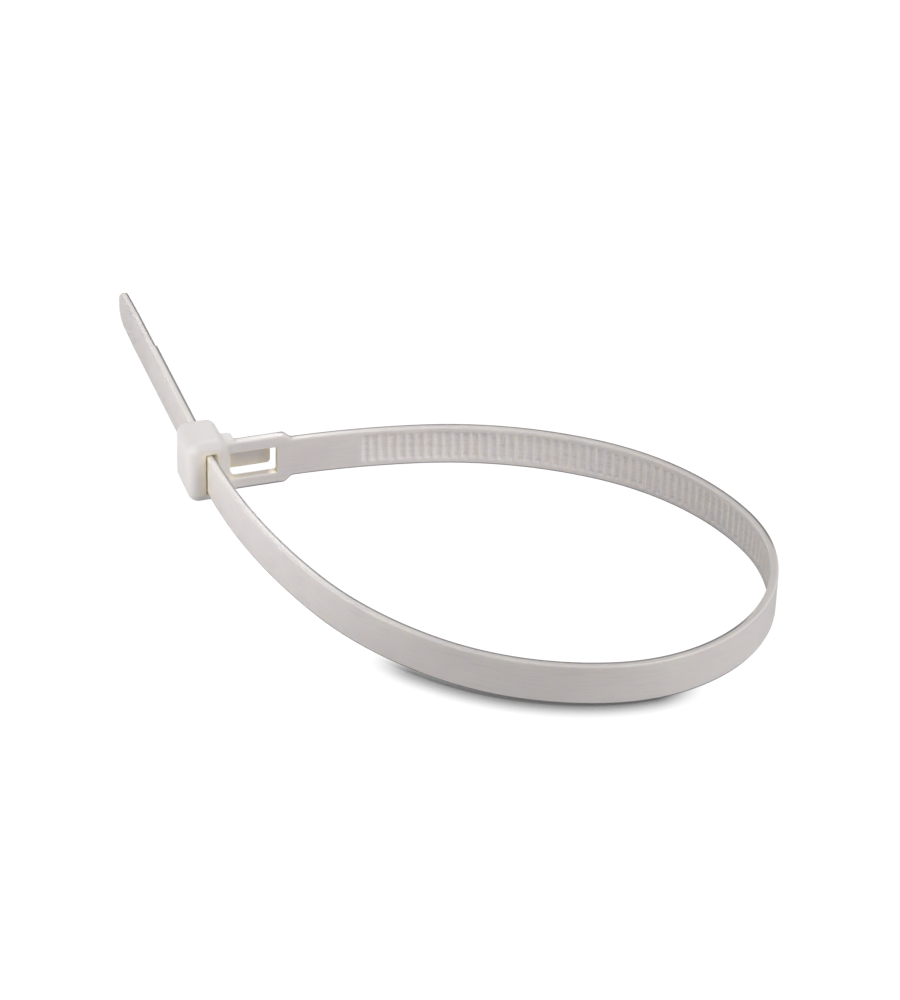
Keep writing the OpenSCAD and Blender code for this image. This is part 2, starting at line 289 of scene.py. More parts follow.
class Strap:
    """The strap as rings of points along the centre line."""

    # Steps round each of the four edges
    corner_steps = 4
    # Length over which the channel runs out into a smooth stretch
    channel_fade = 0.35
    # Fillet and draft of the channel's side walls
    wall_fillet = 0.4
    wall_draft = 0.1
    # Where the first ring meets the head's surface
    join_s = 13.05
    # Distance between rings on plain stretches and over the dimple, and the number of
    # rings over the shoulder's fade and over the narrowing of the tip
    plain_step = 0.9
    dimple_step = 0.1
    fade_rings = 13
    tip_rings = 22
    # Where the painted dark shade on the edges starts to change sides, is half way and has changed
    edge_swap = (112.0, 130.0, 146.0)

    def __init__(self, z, line):
        self.z, self.line = z, line
        self.ladder_end = line.tip_s - z.tail_smooth
        foot = z.rib_crest + z.rib_ramp
        self.ladder_start = z.root_smooth - z.rib_pitch + foot
        self.rib_count = int((self.ladder_end - z.root_smooth - foot) / z.rib_pitch) + 1
        marks = [(d, h) for d, h in RIB_FOOT]
        marks += [(z.rib_crest + d, h) for d, h in RIB_CREST]
        marks += [(foot + d, h) for d, h in RIB_RAMP]
        self.rib_d, self.rib_h = (np.array(column) for column in zip(*marks))
        self.dimple_s = line.exit_s + z.dimple_at
        self.dimple_grid = np.arange(-1.1, 1.11, self.dimple_step) * z.dimple_r / 0.6

    def stations(self):
        """Distances along the line at which the strap has a ring."""
        z, line = self.z, self.line
        fade_end = z.shoulder_l + z.shoulder_fade
        found = [np.linspace(self.join_s, z.shoulder_l, 3)]
        found.append(np.linspace(z.shoulder_l, fade_end, self.fade_rings))
        found.append(np.arange(fade_end, self.ladder_start - 1.0, self.plain_step))
        fade = np.linspace(0.0, self.channel_fade, 5)
        found += [self.ladder_start - fade, self.ladder_end + fade]
        ribs = z.root_smooth + z.rib_pitch * np.arange(self.rib_count)
        found.append((ribs[:, None] + self.rib_d[None]).ravel())
        found.append(self.dimple_s + self.dimple_grid)
        tip_start = line.tip_s - z.tip_l
        found.append(np.arange(self.ladder_end + 0.8, tip_start, self.plain_step))
        end_r = z.tip_w / 2
        found.append(np.linspace(tip_start, line.tip_s - end_r, self.tip_rings))
        found.append(line.tip_s - end_r + end_r * np.sin(np.radians(np.arange(5, 88, 5))))
        found.append(line.tip_s - np.array([0.03, 0.012, 0.004]))
        s = np.sort(np.concatenate(found))
        return s[np.concatenate([[True], np.diff(s) > 0.004])]

    def half_width(self, s):
        z = self.z
        wide, narrow = z.shoulder_w / 2, z.strap_w / 2
        shoulder = wide - (wide - narrow) * (1 - math.cos(math.pi * self.faded(s))) / 2
        d = s - (self.line.tip_s - z.tip_l)
        end_r = z.tip_w / 2
        straight = z.tip_l - end_r
        if d <= 0:
            return shoulder
        if d <= straight:
            return narrow - (narrow - end_r) * d / straight
        return math.sqrt(max(end_r**2 - (d - straight) ** 2, 1e-4))

    def faded(self, s):
        """How far the shoulder has gone over into the strap, from 0 to 1."""
        return float(np.clip((s - self.z.shoulder_l) / self.z.shoulder_fade, 0, 1))

    def rib_height(self, s):
        """Height of the ribs at s, as a share of a full rib."""
        d = s - self.z.root_smooth
        i = round(d / self.z.rib_pitch - 0.25)
        if not 0 <= i < self.rib_count:
            return 0.0
        return float(np.interp(d - i * self.z.rib_pitch, self.rib_d, self.rib_h))

    def ring(self, s):
        """The section at s: points (outwards, across, on an edge, in a pocket) from the middle of
        the outer face round, with the dimple's fine columns in one place away from it."""
        z = self.z
        half = self.half_width(s)
        out = z.shoulder_t / 2 + (z.strap_t - z.shoulder_t) / 2 * ease(self.faded(s))
        smooth_tail = ease((s - self.ladder_end) / self.channel_fade)
        inner = -out + (z.strap_t - z.tail_t) * smooth_tail
        left = self.line.tip_s - s
        if left < z.edge_r:
            trim = z.edge_r - math.sqrt(z.edge_r**2 - (z.edge_r - left) ** 2)
            out, inner = out - trim, inner + trim
        r = min(z.edge_r, 0.95 * half)
        flat = half - r
        in_channel = ease((s - self.ladder_start) / self.channel_fade + 1) * (1 - smooth_tail)
        depth = in_channel * (z.channel_d - (z.channel_d - z.rib_drop) * self.rib_height(s))
        wall = min((z.strap_w / 2 - z.rail_w) * min(1.0, half / (z.strap_w / 2)), 0.8 * flat)
        give = min(self.wall_fillet, 0.3 * wall, 0.5 * (flat - wall))
        bite = min(self.wall_fillet / 2, 0.3 * depth)
        arc = [math.radians(90 * i / self.corner_steps) for i in range(self.corner_steps + 1)]
        near = abs(s - self.dimple_s) < 2 * z.dimple_r
        middle = min(z.dimple_side, 0.75 * flat)
        fine = self.dimple_grid
        beside = flat - min(0.2, 0.4 * (flat - wall - give), 0.4 * (flat - middle))
        draft = min(self.wall_draft, give / 2)
        pocket = depth / z.channel_d
        points = [(out, 0.0, 0.0, 0.0)]
        points += [(out, min(middle + w, beside) if near else middle, 0.0, 0.0) for w in fine]
        points += [(out, beside, 0.0, 0.0)]
        points += [(out - r + r * math.cos(a), flat + r * math.sin(a), 1.0, 0.0) for a in arc]
        points += [(inner + r - r * math.sin(a), flat + r * math.cos(a), 1.0, 0.0) for a in arc]
        points += [(inner, beside, 0.0, 0.0)]
        points += [(inner, wall + give, 0.0, 0.0), (inner + bite, wall + draft, 0.0, pocket / 3)]
        points += [(inner + depth - bite, wall - draft, 0.0, pocket)]
        points += [(inner + depth, wall * c - give * (c == 1), 0.0, pocket) for c in (1, 0)]
        turned = [(u, -w, *rest) for u, w, *rest in points[len(fine) + 1 : -1]]
        points += turned[::-1]
        return [(self.dimpled(u, w, s) if i <= len(fine) + 1 else u, w, *rest)
                for i, (u, w, *rest) in enumerate(points)]

    def dimpled(self, u, w, s):
        """The outer face at (s, w), sunk where the dimple is, with a low rim round it."""
        z = self.z
        away = math.hypot(s - self.dimple_s, w - z.dimple_side) / z.dimple_r
        bowl = 1 - ease(away / 0.95)
        rim = 0.12 * ease(1 - abs(away - 1.15) / 0.35)
        return u - z.dimple_d * float(bowl) + z.dimple_d * float(rim)

    def dark_edge(self, s, side):
        """How dark the painted shade on an edge is at s: on the root the outer upper and inner lower
        edges are painted grey, and past the far bend it is the other two."""
        first, middle, last = self.edge_swap
        if side > 0:
            return float(ease((middle - s) / (middle - first)))
        return float(ease((s - middle) / (last - middle)))

    def add_to(self, bm):
        """Adds the strap to a mesh, open where it leaves the shoulder; returns the open ring."""
        layers = bm.verts.layers
        along, shade_painted, thin = layers.float_vector["along"], layers.float["edge"], layers.float["thin"]
        rings = []
        for s in self.stations():
            x, y, heading = self.line.place(s)
            out = np.array([-math.sin(heading), math.cos(heading)])
            made, last = [], None
            for u, w, edge, pocket in self.ring(s):
                if last is None or max(abs(u - last[0]), abs(w - last[1])) > 1e-6:
                    spot = (x + out[0] * u, y + out[1] * u, w)
                    made.append(bm.verts.new(spot))
                    made[-1][along] = Vector((s, w, u)) * MM
                    # Painted dark shade on the corner arcs of two of the edges
                    made[-1][shade_painted] = edge * self.dark_edge(s, u * w)
                    made[-1][thin] = pocket
                    last = (u, w)
                else:
                    made.append(made[-1])
            rings.append(made)
        for a, b in zip(rings, rings[1:]):
            for i in range(len(a)):
                j = (i + 1) % len(a)
                corners = list(dict.fromkeys((a[i], a[j], b[j], b[i])))
                if len(corners) > 2:
                    bm.faces.new(corners)
        bm.faces.new(list(dict.fromkeys(rings[-1])))
        return list(dict.fromkeys(rings[0]))


def soft_min(a, b, k):
    """The smaller of two fields, with a fillet of about k where they meet."""
    h = np.maximum(k - np.abs(a - b), 0.0) / k
    return np.minimum(a, b) - h * h * k / 4


def soft_max(a, b, k):
    """The larger of two fields, with a round edge of about k where they meet."""
    return -soft_min(-a, -b, k)


def box_field(p, low, high, r):
    """Distance to a box with round edges; a side of the box may vary from point to point."""
    q = [abs(p[i] - (high[i] + low[i]) / 2) - (high[i] - low[i]) / 2 + r for i in range(3)]
    away = np.sqrt(sum(np.maximum(c, 0.0) ** 2 for c in q))
    return away + np.minimum(np.maximum(np.maximum(q[0], q[1]), q[2]), 0.0) - r


class Head:
    """The head, the windowed shoulder, the pawl and the lever as one soft field: negative in
    the nylon. Its frame is the centre line's, with the slot's middle at x = 0."""

    # Reach of a form that another one cuts off
    far = 50.0
    # Rounding of edges that the mould leaves sharp
    sharp = 0.15
    # Distances from the surface at which a hollow is felt for
    hollow_reach = (0.5, 1.0, 2.0, 3.5)

    def __init__(self, z, line):
        self.z, self.line = z, line
        self.x0 = -z.strap_t / 2 - z.slot_gap - z.head_back_t
        self.x1 = z.strap_t / 2 + z.pawl_room
        self.y0, self.y1 = line.head_y0, line.head_y1
        self.half = z.strap_w / 2 + z.slot_side_gap + z.head_side_t
        self.pawl_x = z.strap_t / 2 + z.slot_gap + z.tooth_gap
        self.pawl_y = z.shoulder_t / 2 + z.pawl_gap
        self.window_x0 = self.x1 + z.cheek_l - z.window_back
        self.window_x1 = z.shoulder_l - z.window_bridge
        self.lever_x1 = self.window_x1 - z.lever_gap
        self.lever_y = z.shoulder_t / 2 + z.lever_lift
        self.lever_half = z.window_w / 2 - z.lever_gap

    def block(self, p):
        """The head's outer form, narrower at the exit."""
        z = self.z
        along = np.clip((p[1] - self.y0) / z.head_l, 0, 1)
        half = self.half - z.head_taper * along
        return box_field(p, (self.x0, self.y0, -half), (self.x1, self.y1, half), z.head_round)

    def slot(self, p):
        z = self.z
        mouth = ease(1 - (p[1] - self.y0) / (2 * z.mouth_flare))
        half_t = z.strap_t / 2 + z.slot_gap
        half_w = z.strap_w / 2 + z.slot_side_gap
        low = (-half_t, -self.far, -half_w)
        high = (half_t + z.mouth_flare * mouth, self.far, half_w)
        return box_field(p, low, high, self.sharp)

    def pawl_cavity(self, p):
        low = (0.0, self.z.shoulder_t / 2, -self.z.window_w / 2)
        return box_field(p, low, (self.far, self.far, self.z.window_w / 2), self.sharp)

    def shoulder(self, p):
        """The plate of the shoulder with its window."""
        z = self.z
        low = (self.x1 - z.head_round, -z.shoulder_t / 2, -z.shoulder_w / 2)
        plate = box_field(p, low, (self.far, z.shoulder_t / 2, z.shoulder_w / 2), z.edge_r)
        low = (self.window_x0, -self.far, -z.window_w / 2)
        window = box_field(p, low, (self.window_x1, self.far, z.window_w / 2), 2 * self.sharp)
        return soft_max(plate, -window, self.sharp)

    def cheek(self, p):
        """The cheeks that stiffen both rails where they meet the head."""
        z = self.z
        low = (self.x1 - z.head_round, -z.shoulder_t / 2, z.window_w / 2)
        side = z.shoulder_w / 2 + z.cheek_side
        high = (self.x1 + z.cheek_l, z.shoulder_t / 2 + z.cheek_h, side)
        return box_field((p[0], p[1], abs(p[2])), low, high, z.cheek_round)

    def pawl(self, p):
        """The pawl with its teeth between the ribs that lie in the slot, and its web."""
        z = self.z
        half = self.lever_half
        high = (self.pawl_x + z.pawl_t, self.pawl_y + z.pawl_l, half)
        bar = box_field(p, (self.pawl_x, self.pawl_y, -half), high, self.sharp)
        low = (self.pawl_x + z.pawl_t - z.hinge_t, -z.shoulder_t / 2, -half)
        high = (self.pawl_x + z.pawl_t, self.pawl_y + z.hinge_t, half)
        found = soft_min(bar, box_field(p, low, high, self.sharp), z.fillet)
        crest = z.strap_t / 2 - z.channel_d + z.tooth_gap
        gap = z.rib_pitch - z.rib_crest - z.rib_ramp - 2 * z.tooth_gap
        reach = self.pawl_x - crest
        slope = math.hypot(reach, z.rib_ramp)
        first = (self.line.slot_s + self.pawl_y + z.rib_pitch - z.rib_crest - z.root_smooth) / z.rib_pitch
        last = (self.line.slot_s + self.pawl_y + z.pawl_l - z.root_smooth) / z.rib_pitch
        for i in range(math.ceil(first), math.floor(last) + 1):
            top = z.root_smooth + i * z.rib_pitch - self.line.slot_s - z.tooth_gap
            x, y = p[0] - crest, p[1] - (top - gap)
            ramp = -(y * reach + x * z.rib_ramp) / slope
            tooth = np.maximum(np.maximum(-x, p[1] - top), np.maximum(ramp, abs(p[2]) - half))
            tooth = np.maximum(tooth, x - reach - self.sharp)
            found = np.minimum(found, tooth)
        return found

    def lever(self, p):
        """The release lever, with its free corners rounded."""
        z = self.z
        low = (self.pawl_x + z.pawl_t - z.hinge_t, self.lever_y, -self.lever_half)
        high = (self.lever_x1, self.lever_y + z.lever_t, self.lever_half)
        bar = box_field(p, low, high, self.sharp)
        cx, cz = p[0] - (self.lever_x1 - z.lever_round), abs(p[2]) - (self.lever_half - z.lever_round)
        corner = np.hypot(np.maximum(cx, 0.0), np.maximum(cz, 0.0)) - z.lever_round
        return soft_max(bar, corner, self.sharp)

    def field(self, p):
        z = self.z
        found = soft_max(self.block(p), -self.slot(p), 2 * self.sharp)
        found = soft_max(found, -self.pawl_cavity(p), 2 * self.sharp)
        root = soft_min(self.shoulder(p), self.cheek(p), z.fillet)
        found = soft_min(found, root, z.fillet)
        release = soft_min(self.pawl(p), self.lever(p), z.fillet)
        return soft_min(found, release, z.fillet / 2)

    def add_to(self, bm, join_x):
        """Adds the head to a mesh, open at join_x, where the strap goes on."""
        z, cell = self.z, self.z.cell
        margin = 3 * cell
        low = np.array([self.x0, self.y0, -self.half]) - margin
        high = np.array([join_x, self.y1 + margin, self.half + margin])
        count = np.ceil((high - low) / cell).astype(int)
        low[0] = join_x - count[0] * cell
        low[2] = -count[2] * cell / 2
        axes = [low[i] + cell * np.arange(count[i] + 1) for i in range(3)]
        spots, quads = surface_of(self.field(np.meshgrid(*axes, indexing="ij")))
        verts = [bm.verts.new(low + cell * spot) for spot in spots]
        for quad in quads:
            bm.faces.new([verts[i] for i in quad])
        layers = bm.verts.layers
        along, edge, thick = layers.float_vector["along"], layers.float["edge"], layers.float["thick"]
        for vert in verts:
            x, y, w = vert.co
            vert[along] = vert.co.xzy * MM
            vert[thick] = 1 - float(ease((x - self.x1 - z.cheek_l) / z.cheek_l))
            # Painted dark shade along two of the shoulder's edges, the same two as on the root
            if x > self.x1 + z.cheek_l and y * w > 0:
                away = math.hypot(abs(y) - z.shoulder_t / 2, abs(w) - z.shoulder_w / 2)
                vert[edge] = max(0.0, 1.5 - away / (2 * z.edge_r))

    def note_hollows(self, bm, head_count):
        """Notes on each point of a mesh, the head's points first, how deep in a corner or hollow
        of the head it lies, which the material turns into a painted warm shade. The strap hides the head's
        points too, but not its own."""
        z = self.z
        hollow = bm.verts.layers.float["hollow"]
        near = [v for v in bm.verts if v.co.x < z.shoulder_l and abs(v.co.y) < 2 * z.head_l]
        p, n = (np.array([getattr(v, key) for v in near]) for key in ("co", "normal"))
        own = np.array([v.index >= head_count for v in near])
        found = np.zeros(len(near))
        for reach in self.hollow_reach:
            q = (p + reach * n).T
            half = (z.strap_t / 2, self.far, z.strap_w / 2)
            strap = box_field(q, [-c for c in half], half, self.sharp)
            clear = np.where(own, self.field(q), np.minimum(self.field(q), strap))
            found += np.clip(1 - clear / reach, 0, 1)
        for vert, depth in zip(near, found / len(self.hollow_reach)):
            vert[hollow] = depth


def surface_of(value):
    """The surface on which a sampled field is zero, as points in cells and quads: one point in
    each cell that the surface cuts, and one quad round each cut edge of the grid."""
    inside = value < 0
    cells = tuple(n - 1 for n in value.shape)
    total, cuts = np.zeros((*cells, 3)), np.zeros(cells)
    crossings = []
    for axis in range(3):
        a = np.moveaxis(value, axis, 0)
        cut = (a[:-1] < 0) != (a[1:] < 0)
        rise = a[:-1] - a[1:]
        part = np.where(cut, a[:-1] / np.where(cut, rise, 1.0), 0.0)
        cut, part = np.moveaxis(cut, 0, axis), np.moveaxis(part, 0, axis)
        crossings.append(cut)
        at = np.stack(np.indices(cut.shape, dtype=float), -1)
        at[..., axis] += part
        at *= cut[..., None]
        others = [i for i in range(3) if i != axis]
        for da in (0, 1):
            for db in (0, 1):
                window = [slice(None)] * 3
                window[others[0]] = slice(da, cells[others[0]] + da)
                window[others[1]] = slice(db, cells[others[1]] + db)
                total += at[tuple(window)]
                cuts += cut[tuple(window)]
    active = cuts > 0
    number = np.full(cells, -1)
    number[active] = np.arange(active.sum())
    spots = total[active] / cuts[active][:, None]
    quads = []
    for axis in range(3):
        b, c = (axis + 1) % 3, (axis + 2) % 3
        where = np.argwhere(crossings[axis])
        keep = np.ones(len(where), bool)
        for i in (b, c):
            keep &= (where[:, i] > 0) & (where[:, i] < cells[i])
        where = where[keep]
        one, two = np.eye(3, dtype=int)[b], np.eye(3, dtype=int)[c]
        ring = [number[tuple((where - d).T)] for d in (one * 0, one, one + two, two)]
        quad = np.stack(ring, 1)
        outwards = inside[tuple(where.T)]
        quad[~outwards] = quad[~outwards][:, ::-1]
        quads.append(quad)
    return spots, np.concatenate(quads)


def node_maker(tree):
    """Returns new(kind, **inputs), which adds a node and sets or links its inputs."""

    def new(kind, **inputs):
        node = tree.nodes.new(kind)
        for key, value in inputs.items():
            socket = node.inputs.get(key.replace("_", " "))
            if socket is None:
                setattr(node, key, value)
            elif isinstance(value, bpy.types.NodeSocket):
                tree.links.new(value, socket)
            else:
                socket.default_value = value
        return node

    return new


# How many times a pattern repeats over a metre: along the object's axes for the clouds
# and the grain, and along, across and through the strap for the streaks
CLOUD_SCALE = (110.0, 110.0, 110.0)
STREAK_SCALE = (150.0, 3200.0, 1500.0)
GRAIN_SCALE = (2600.0, 2600.0, 2600.0)

# Depth of the relief of grain and streaks, in metres, and how strongly nylon bends light
RELIEF = 0.00003
NYLON_IOR = 1.53

# How much rougher the head and the pockets of the ladder are than the rest
ROUGHER = (("thick", 0.12), ("thin", 0.3))


def nylon_material(finish):
    """Natural nylon: milky and satin, with fine streaks along the strap, a painted warm shade in
    its corners and hollows, painted light in its pockets and painted dark shade along its edges."""
    made = bpy.data.materials.new("natural_nylon")
    made.use_nodes = True
    tree = made.node_tree
    tree.nodes.clear()
    new = node_maker(tree)

    def attribute(name, output):
        return new("ShaderNodeAttribute", attribute_name=name).outputs[output]

    def noise(place, scale, **inputs):
        stretched = new("ShaderNodeVectorMath", operation="MULTIPLY")
        tree.links.new(place, stretched.inputs[0])
        stretched.inputs[1].default_value = scale
        vector = stretched.outputs["Vector"]
        return new("ShaderNodeTexNoise", Vector=vector, Scale=1.0, **inputs).outputs["Fac"]

    def mixed(fac, one, two):
        mix = new("ShaderNodeMix", data_type="RGBA")
        for socket, value in zip((mix.inputs[0], mix.inputs[6], mix.inputs[7]), (fac, one, two)):
            if isinstance(value, bpy.types.NodeSocket):
                tree.links.new(value, socket)
            else:
                socket.default_value = (*value, 1.0)
        return mix.outputs[2]

    def ranged(value, low, high, to_low, to_high):
        found = new("ShaderNodeMapRange", Value=value)
        ends = {"From Min": low, "From Max": high, "To Min": to_low, "To Max": to_high}
        for key, number in ends.items():
            found.inputs[key].default_value = number
        return found.outputs["Result"]

    place = new("ShaderNodeTexCoord").outputs["Object"]
    along = attribute("along", "Vector")
    cloudy = noise(place, CLOUD_SCALE, Detail=3.0, Roughness=0.55)
    tone = mixed(ranged(cloudy, 0.35, 0.68, 0.0, 1.0), finish.base, finish.milky)
    # Painted light in the pockets of the ladder
    tone = mixed(attribute("thin", "Fac"), tone, finish.thin)
    streaky = noise(along, STREAK_SCALE, Detail=3.0, Roughness=0.6)
    darker = tuple(c * (1 - finish.streaks) for c in finish.base)
    tone = mixed(ranged(streaky, 0.5, 0.72, 0.0, 0.8), tone, darker)
    tone = mixed(attribute("thick", "Fac"), tone, finish.thick)
    # Painted warm shade in the corners and hollows of the head
    tone = mixed(ranged(attribute("hollow", "Fac"), 0.06, 0.4, 0.0, 1.0), tone, finish.hollow)
    # Painted dark shade along two of the edges
    tone = mixed(ranged(attribute("edge", "Fac"), 0.55, 0.95, 0.0, 0.9), tone, finish.edge)
    grain = noise(place, GRAIN_SCALE, Detail=4.0, Roughness=0.6)
    rough = ranged(grain, 0.3, 0.7, finish.roughness - 0.05, finish.roughness + 0.08)
    for name, more in ROUGHER:
        duller = new("ShaderNodeMath", operation="MULTIPLY_ADD")
        tree.links.new(attribute(name, "Fac"), duller.inputs[0])
        duller.inputs[1].default_value = more
        tree.links.new(rough, duller.inputs[2])
        rough = duller.outputs["Value"]
    fine = new("ShaderNodeBump", Height=grain, Strength=0.12, Distance=RELIEF)
    brushed = new("ShaderNodeBump", Height=streaky, Strength=0.15, Distance=RELIEF)
    tree.links.new(fine.outputs["Normal"], brushed.inputs["Normal"])
    normal = brushed.outputs["Normal"]
    shader = new("ShaderNodeBsdfPrincipled", Roughness=rough, Normal=normal, IOR=NYLON_IOR)
    tree.links.new(tone, shader.inputs["Base Color"])
    shader.inputs["Subsurface Weight"].default_value = finish.glow
    shader.inputs["Subsurface Radius"].default_value = (1.0, 0.9, 0.7)
    shader.inputs["Subsurface Scale"].default_value = finish.depth
    out = new("ShaderNodeOutputMaterial")
    tree.links.new(shader.outputs["BSDF"], out.inputs["Surface"])
    return made


class CABLETIE_OT_moulding(bpy.types.Operator):
    """Model the whole tie, head and strap in one mesh, and give it its nylon"""

    bl_idname = "cabletie.moulding"
    bl_label = "Tie Moulding"

    def execute(self, context):
        scene = context.scene
        z = in_mm(scene.tie_strap, scene.tie_head)
        line = CentreLine(z)
        bm = bmesh.new()
        bm.verts.layers.float_vector.new("along")
        for name in ("edge", "hollow", "thick", "thin"):
            bm.verts.layers.float.new(name)
        strap, head = Strap(z, line), Head(z, line)
        head.add_to(bm, strap.join_s - z.cell / 2)
        head_count = len(bm.verts)
        rim = [e for e in bm.edges if e.is_boundary]
        ring = strap.add_to(bm)
        start = [bm.edges.get((a, b)) for a, b in zip(ring, ring[1:] + ring[:1])]
        bmesh.ops.bridge_loops(bm, edges=rim + start)
        bmesh.ops.recalc_face_normals(bm, faces=bm.faces)
        holes = sum(not e.is_manifold for e in bm.edges)
        if holes:
            raise RuntimeError(f"the moulding has {holes} open or doubled edges")
        bm.normal_update()
        bm.verts.index_update()
        head.note_hollows(bm, head_count)
        shift = Matrix.Translation((-line.far_centre[0], -line.far_centre[1], 0.0))
        bmesh.ops.transform(bm, matrix=Matrix.Scale(MM, 4) @ shift, verts=bm.verts)
        mesh = bpy.data.meshes.new("cable_tie_moulding")
        bm.to_mesh(mesh)
        bm.free()
        mesh.shade_smooth()
        mesh.materials.append(nylon_material(scene.tie_nylon))
        piece = bpy.data.objects.new("cable_tie_moulding", mesh)
        scene.collection.objects.link(piece)
        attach(piece, "root")
        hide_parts("cable_tie")
        return {"FINISHED"}


# The painted shadow along the front of the loop is what the camera sees of the floor
#  besides white: it lies outside the first circle and inside the second (x, y, where it has
#  faded out and where it is full, in millimetres)
SHADOW_OUTSIDE = (3.0, 17.0, 41.0, 46.0)
SHADOW_INSIDE = (-20.0, -28.0, 31.0, 21.0)
SHADOW_Z = -5.0

# How near the tie has to be to darken the floor, in millimetres, and how open the floor
# is where the shadow is full and where there is none, with the tone of the full shadow
SHADOW_REACH = 4.0
SHADOW_OPEN = (0.48, 0.98)
SHADOW_TONE = 0.12

# What the paper that the camera sees throws back besides its own white
SEEN_FLOOR = 0.05

# The lamps: the direction that each shines from, and what it points at if that isn't
# the camera's aim. The glint lies on the upper edge near the head.
LAMPS = (
    ("key", (-0.9, 0.08, 0.22), None),
    ("fill", (0.46, -0.6, 0.7), None),
    ("glint", (0.28, 0.79, 0.54), (-52.0 * MM, 27.0 * MM, 3.8 * MM)),
)


def paper_material(stage):
    """White paper that the camera sees as pure white, but for a painted shadow at the loop's front, where
    ambient occlusion darkens its glow.
    """
    made = bpy.data.materials.new("floor_paper")
    made.use_nodes = True
    tree = made.node_tree
    tree.nodes.clear()
    new = node_maker(tree)
    place = new("ShaderNodeNewGeometry").outputs["Position"]
    seen = new("ShaderNodeLightPath").outputs["Is Camera Ray"]
    shares = []
    for x, y, none, full in (SHADOW_OUTSIDE, SHADOW_INSIDE):
        away = new("ShaderNodeVectorMath", operation="DISTANCE")
        tree.links.new(place, away.inputs[0])
        away.inputs[1].default_value = (x * MM, y * MM, SHADOW_Z * MM)
        soft = new("ShaderNodeMapRange", interpolation_type="SMOOTHSTEP", Value=away.outputs["Value"])
        soft.inputs["From Min"].default_value = none * MM
        soft.inputs["From Max"].default_value = full * MM
        shares.append(soft.outputs["Result"])
    shaded = new("ShaderNodeMath", operation="MULTIPLY")
    for share_of, socket in zip(shares, shaded.inputs):
        tree.links.new(share_of, socket)
    # 1 where the floor lies open, less where the tie stands close to it
    close = new("ShaderNodeAmbientOcclusion", samples=8, Distance=SHADOW_REACH * MM)
    tone = new("ShaderNodeMapRange", Value=close.outputs["AO"])
    for key, number in zip(("From Min", "From Max", "To Min"), (*SHADOW_OPEN, SHADOW_TONE)):
        tone.inputs[key].default_value = number
    dark = new("ShaderNodeMath", operation="SUBTRACT")
    dark.inputs[0].default_value = 1.0
    tree.links.new(tone.outputs["Result"], dark.inputs[1])
    kept = new("ShaderNodeMath", operation="MULTIPLY")
    tree.links.new(dark.outputs["Value"], kept.inputs[0])
    tree.links.new(shaded.outputs["Value"], kept.inputs[1])
    left = new("ShaderNodeMath", operation="SUBTRACT")
    left.inputs[0].default_value = 1.0
    tree.links.new(kept.outputs["Value"], left.inputs[1])
    strength = new("ShaderNodeMath", operation="MULTIPLY")
    tree.links.new(left.outputs["Value"], strength.inputs[0])
    tree.links.new(seen, strength.inputs[1])
    dim = new("ShaderNodeMapRange", Value=seen)
    dim.inputs["To Min"].default_value = stage.floor
    dim.inputs["To Max"].default_value = SEEN_FLOOR
    paper = new("ShaderNodeBsdfDiffuse")
    tree.links.new(dim.outputs["Result"], paper.inputs["Color"])
    glow = new("ShaderNodeEmission", Strength=strength.outputs["Value"])
    both = new("ShaderNodeAddShader")
    tree.links.new(paper.outputs["BSDF"], both.inputs[0])
    tree.links.new(glow.outputs["Emission"], both.inputs[1])
    out = new("ShaderNodeOutputMaterial")
    tree.links.new(both.outputs["Shader"], out.inputs["Surface"])
    return made


def add_floor(scene, z):
    """The floor that the tie rests on with its head and the edge of the far bend, so that it
    slopes a little against the tie."""
    line = CentreLine(z)
    head = np.array([0.0, 0.0]) - line.far_centre
    away = -head / np.hypot(*head)
    edge = away * (z.bundle_r + z.strap_t)
    low = CAD_BOX[0].z
    run = Vector((*((edge - head) * MM), -z.strap_w / 2 * MM - low))
    bm = bmesh.new()
    bmesh.ops.create_grid(bm, x_segments=1, y_segments=1, size=3.0)
    mesh = bpy.data.meshes.new("floor")
    bm.to_mesh(mesh)
    bm.free()
    mesh.materials.append(paper_material(scene.tie_stage))
    floor = bpy.data.objects.new("floor", mesh)
    floor.location = (*(head * MM), low)
    floor.rotation_euler = run.to_track_quat("X", "Z").to_euler()
    scene.collection.objects.link(floor)


def add_lamp(scene, name, towards, aim, distance, size, strength):
    """A square lamp that would show a white surface square to it at that strength."""
    lamp = bpy.data.lights.new(name, "AREA")
    lamp.shape = "SQUARE"
    lamp.size = size
    lamp.energy = strength * (math.pi * distance) ** 2
    body = bpy.data.objects.new(name, lamp)
    back = Vector(towards).normalized()
    body.location = Vector(aim) + back * distance
    body.rotation_euler = back.to_track_quat("Z", "Y").to_euler()
    scene.collection.objects.link(body)


def add_world(scene, strength):
    """A plain sky that lights softly and shows white behind the floor."""
    world = bpy.data.worlds.new("studio")
    world.use_nodes = True
    tree = world.node_tree
    tree.nodes.clear()
    new = node_maker(tree)
    path = new("ShaderNodeLightPath")
    soft = new("ShaderNodeBackground", Color=(1.0, 1.0, 1.0, 1.0), Strength=strength)
    white = new("ShaderNodeBackground", Color=(1.0, 1.0, 1.0, 1.0), Strength=1.0)
    mix = new("ShaderNodeMixShader")
    tree.links.new(path.outputs["Is Camera Ray"], mix.inputs["Fac"])
    tree.links.new(soft.outputs["Background"], mix.inputs[1])
    tree.links.new(white.outputs["Background"], mix.inputs[2])
    out = new("ShaderNodeOutputWorld")
    tree.links.new(mix.outputs["Shader"], out.inputs["Surface"])
    scene.world = world


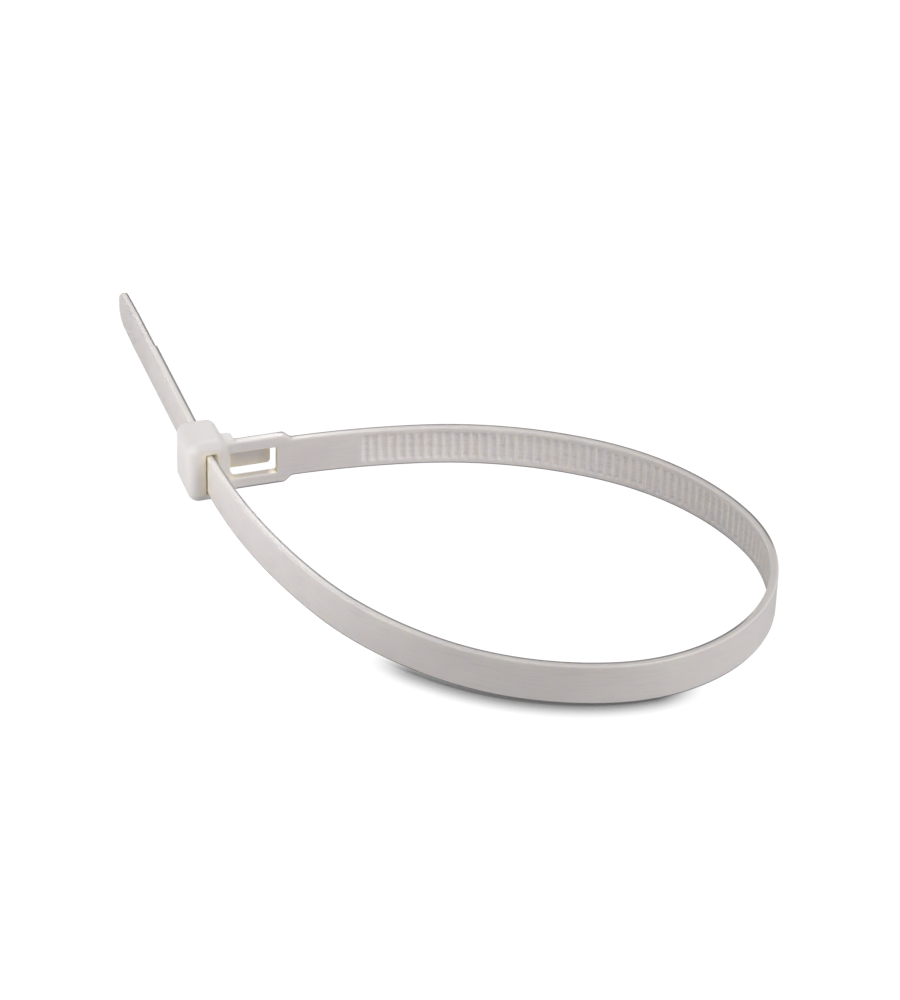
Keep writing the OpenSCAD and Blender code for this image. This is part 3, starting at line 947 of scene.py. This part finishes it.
def add_camera(scene, stage):
    """The photograph's camera: its place round the aim, its lens and its slight roll."""
    lens = bpy.data.cameras.new("photo_camera")
    lens.lens = stage.focal
    lens.clip_start, lens.clip_end = 0.01, 20.0
    camera = bpy.data.objects.new("photo_camera", lens)
    a, e, r = stage.azimuth, stage.elevation, stage.roll
    right = Vector((math.cos(a), math.sin(a), 0.0))
    back = Vector((math.sin(a) * math.cos(e), -math.cos(a) * math.cos(e), math.sin(e)))
    up = back.cross(right)
    x_axis = math.cos(r) * right + math.sin(r) * up
    y_axis = math.cos(r) * up - math.sin(r) * right
    turn = Matrix((x_axis, y_axis, back)).transposed().to_4x4()
    camera.matrix_world = Matrix.Translation(Vector(stage.aim) + back * stage.distance) @ turn
    scene.collection.objects.link(camera)
    scene.camera = camera


class CABLETIE_OT_stage(bpy.types.Operator):
    """Set the floor, the soft light and the camera"""

    bl_idname = "cabletie.stage"
    bl_label = "Stage"

    def execute(self, context):
        scene = context.scene
        stage = scene.tie_stage
        add_floor(scene, in_mm(scene.tie_strap, scene.tie_head))
        for name, towards, aim in LAMPS:
            far, size, strength = (getattr(stage, name + end) for end in ("_far", "_size", ""))
            add_lamp(scene, name, towards, aim or stage.aim, far, size, strength)
        add_world(scene, stage.sky)
        add_camera(scene, stage)
        scene.view_settings.view_transform = "Standard"
        return {"FINISHED"}


class CABLETIE_PT_sidebar(bpy.types.Panel):
    """Lists the tie's steps and its sizes"""

    bl_idname = "CABLETIE_PT_sidebar"
    bl_label = "Cable Tie"
    bl_space_type = "VIEW_3D"
    bl_region_type = "UI"
    bl_category = "Cable Tie"

    def draw(self, context):
        layout = self.layout
        layout.operator(CABLETIE_OT_moulding.bl_idname)
        layout.operator(CABLETIE_OT_stage.bl_idname)
        for name in GROUPS:
            group = getattr(context.scene, name)
            column = layout.column(align=True)
            for key in group.__annotations__:
                column.prop(group, key)


GROUPS = {
    "tie_strap": TieStrapSizes,
    "tie_head": TieHeadSizes,
    "tie_nylon": TieNylonFinish,
    "tie_stage": TieStageSetup,
}
CLASSES = (*GROUPS.values(), CABLETIE_OT_moulding, CABLETIE_OT_stage, CABLETIE_PT_sidebar)


def register():
    for cls in CLASSES:
        bpy.utils.register_class(cls)
    for name, group in GROUPS.items():
        setattr(bpy.types.Scene, name, PointerProperty(type=group))


def unregister():
    for name in GROUPS:
        delattr(bpy.types.Scene, name)
    for cls in reversed(CLASSES):
        bpy.utils.unregister_class(cls)


def main():
    register()
    bpy.ops.cabletie.moulding()
    bpy.ops.cabletie.stage()


if __name__ == "__main__":
    main()
